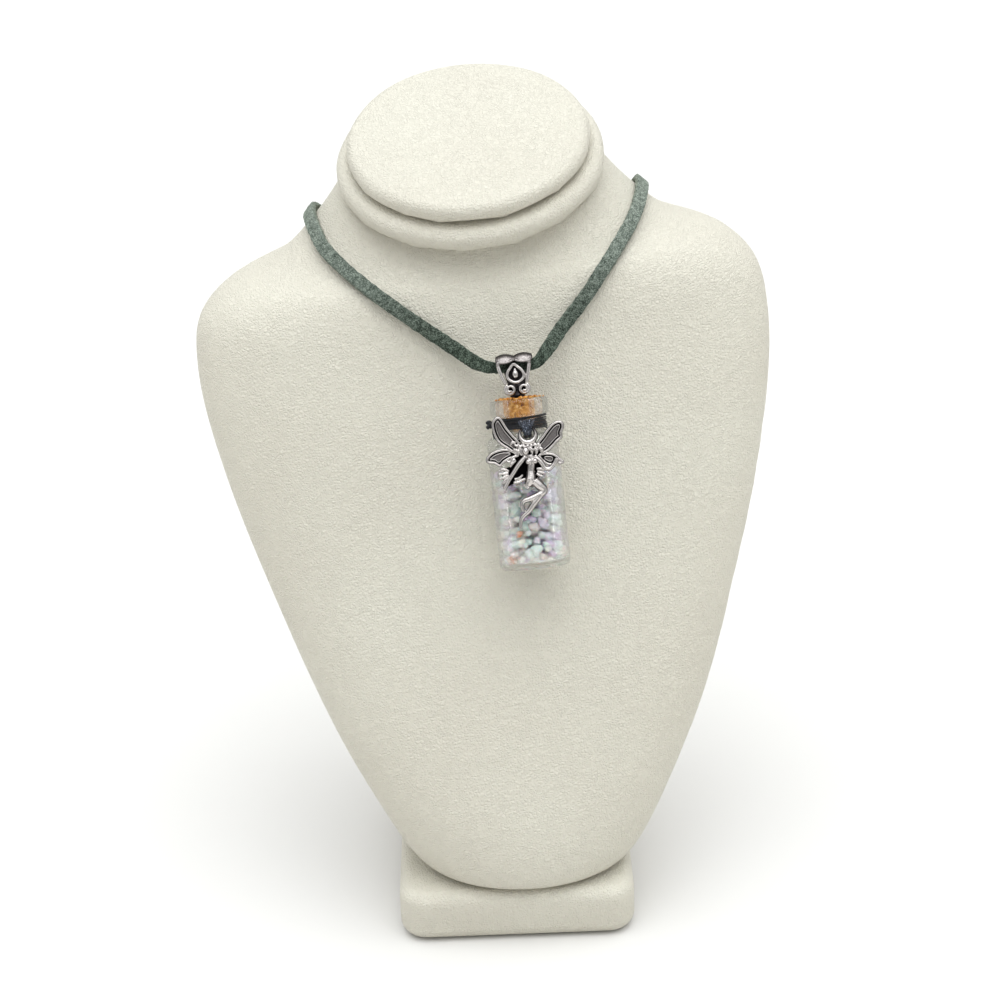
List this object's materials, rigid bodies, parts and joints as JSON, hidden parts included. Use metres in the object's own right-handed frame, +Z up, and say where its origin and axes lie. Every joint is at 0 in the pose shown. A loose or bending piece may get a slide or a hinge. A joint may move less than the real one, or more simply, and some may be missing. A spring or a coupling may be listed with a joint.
{
  "type": "corked bottle pendant necklace on a neck bust display stand",
  "caption": "Small corked glass vial of crystal chips with a winged fairy charm, hung by a cast bail on a flat suede lace round a plain leatherette neck bust on a foot.",
  "frame": {"origin": "centre of the underside of the foot", "axes": "+Z up, the pendant hangs at the front, which faces -Y, and +X is to the viewer's right"},
  "size_m": [0.127, 0.096, 0.1742],
  "materials": {
    "leatherette": "white pebbled leatherette, dull",
    "suede": "dark grey-green faux suede with a short nap",
    "silver_plate": "silver-coloured plating",
    "antique_silver": "cast alloy plated in antique silver, dark in its recesses",
    "cork": "natural cork",
    "glass": "clear glass",
    "stone_chips": "tumbled translucent crystal chips in pale green, lilac and cream",
    "waxed_thread": "dark waxed thread"
  },
  "bodies": {
    "stand": {"bust_body": "leatherette", "neck_rim": "leatherette", "neck_cap": "leatherette", "foot": "leatherette", "cord": "suede", "clasp": "silver_plate"},
    "pendant": {"bail": "antique_silver", "cork": "cork", "bottle": "glass", "chips": "stone_chips", "neck_wrap": "waxed_thread", "wrap_knot": "waxed_thread", "charm_tie": "waxed_thread", "fairy_charm": "antique_silver"}
  },
  "joints": [
    {"name": "pendant_swing", "type": "hinge", "parent": "stand", "child": "pendant", "pos_m": [0.0037, -0.00673, 0.12489], "axis": [-0.9973, 0, -0.0732], "range_deg": [0, 80]}
  ]
}
